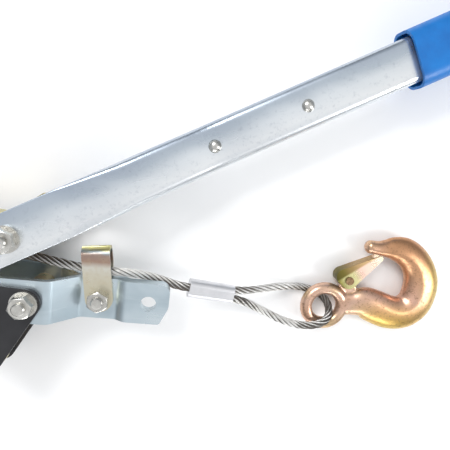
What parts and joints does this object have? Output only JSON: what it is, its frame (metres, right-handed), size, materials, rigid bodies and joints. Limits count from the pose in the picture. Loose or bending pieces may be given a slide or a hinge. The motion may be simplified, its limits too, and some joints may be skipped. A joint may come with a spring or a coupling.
{
  "type": "hand wire rope puller",
  "caption": "Hand lever puller: a ratchet drum between steel side plates winds a wire rope that ends in a latched hook; a second latched hook swings at the rear.",
  "frame": {"origin": "centre of the anchor hole in the frame's nose, on the frame's middle plane", "axes": "+X along the frame from the drum to the nose and the rope's hook, +Y towards the lever's side, +Z square to the side plates, up from the surface the tool lies on"},
  "size_m": [0.5863, 0.3216, 0.0724],
  "materials": {
    "zinc_plate": "bright zinc",
    "zinc_hardware": "bright zinc",
    "black_paint": "satin black",
    "yellow_zinc": "yellow passivated zinc",
    "forged_yellow_zinc": "yellow passivated zinc over a forging",
    "wire_rope": "galvanised strands",
    "aluminium_sleeve": "pressed",
    "blue_rubber": "satin",
    "spring_steel": "plain"
  },
  "bodies": {
    "frame": {"side_plate_near": "zinc_plate", "side_plate_far": "zinc_plate", "gusset_near": "black_paint", "gusset_far": "black_paint", "front_spacer": "yellow_zinc", "rear_bushing": "zinc_hardware", "frame_bolts": "zinc_hardware", "frame_nuts": "zinc_hardware", "frame_washers": "zinc_hardware", "clip_bolt": "zinc_hardware", "clip_nut": "zinc_hardware", "rope_clip": "yellow_zinc", "hold_pawl_spacers": "zinc_hardware", "hold_pawl_spring": "spring_steel", "axle_bolt": "zinc_hardware", "axle_washer": "zinc_hardware", "axle_nut": "zinc_hardware", "rope_tail": "wire_rope", "rope_ferrule": "aluminium_sleeve", "rope_loop": "wire_rope"},
    "drum": {"drum_barrel": "yellow_zinc", "ratchet_gear_near": "yellow_zinc", "ratchet_gear_far": "yellow_zinc", "rope_anchor_screw": "zinc_hardware", "rope_winding": "wire_rope"},
    "hold_pawl_body": {"hold_pawl": "yellow_zinc"},
    "handle": {"handle_half_near": "zinc_plate", "handle_half_far": "zinc_plate", "handle_rivets": "zinc_hardware", "grip": "blue_rubber", "drive_pawl_bolt": "zinc_hardware", "drive_pawl_washer": "zinc_hardware", "drive_pawl_nut": "zinc_hardware", "drive_pawl_spacers": "zinc_hardware", "drive_pawl_spring": "spring_steel"},
    "drive_pawl_body": {"drive_pawl": "yellow_zinc"},
    "rope_hook_body": {"rope_hook": "forged_yellow_zinc", "rope_latch_pin": "yellow_zinc"},
    "rope_latch_body": {"rope_latch": "yellow_zinc", "rope_latch_spring": "spring_steel"},
    "rear_hook_body": {"rear_hook": "forged_yellow_zinc", "rear_latch_pin": "yellow_zinc"},
    "rear_latch_body": {"rear_latch": "yellow_zinc", "rear_latch_spring": "spring_steel"}
  },
  "joints": [
    {"name": "drum_spin", "type": "hinge", "parent": "frame", "child": "drum", "pos_m": [-0.156, 0, 0], "axis": [0, 0, 1], "continuous": true},
    {"name": "handle_swing", "type": "hinge", "parent": "frame", "child": "handle", "pos_m": [-0.156, 0, 0], "axis": [0, 0, 1], "range_deg": [0, 90]},
    {"name": "hold_pawl_swing", "type": "hinge", "parent": "frame", "child": "hold_pawl_body", "pos_m": [-0.1055, -0.055, 0], "axis": [0, 0, 1], "range_deg": [-20, 0], "stiffness_Nm_per_rad": 0.4, "springref_deg": 17.19},
    {"name": "drive_pawl_swing", "type": "hinge", "parent": "handle", "child": "drive_pawl_body", "pos_m": [-0.08524, 0.04143, 0], "axis": [0, 0, 1], "range_deg": [-6, 8.5], "stiffness_Nm_per_rad": 0.4},
    {"name": "rear_hook_swing", "type": "hinge", "parent": "frame", "child": "rear_hook_body", "pos_m": [-0.23, 0, 0], "axis": [0, 0, 1], "range_deg": [-30, 30]},
    {"name": "rear_latch_swing", "type": "hinge", "parent": "rear_hook_body", "child": "rear_latch_body", "pos_m": [-0.2454, -0.0234, 0], "axis": [0, 0, 1], "range_deg": [-30, 0], "stiffness_Nm_per_rad": 0.05, "springref_deg": 17.19},
    {"name": "rope_hook_swing", "type": "hinge", "parent": "frame", "child": "rope_hook_body", "pos_m": [0.1362, -0.0021, -0.0229], "axis": [0, 0, 1], "range_deg": [-20, 20]},
    {"name": "rope_latch_swing", "type": "hinge", "parent": "rope_hook_body", "child": "rope_latch_body", "pos_m": [0.1516, 0.0213, -0.0229], "axis": [0, 0, 1], "range_deg": [-30, 0], "stiffness_Nm_per_rad": 0.05, "springref_deg": 17.19}
  ]
}
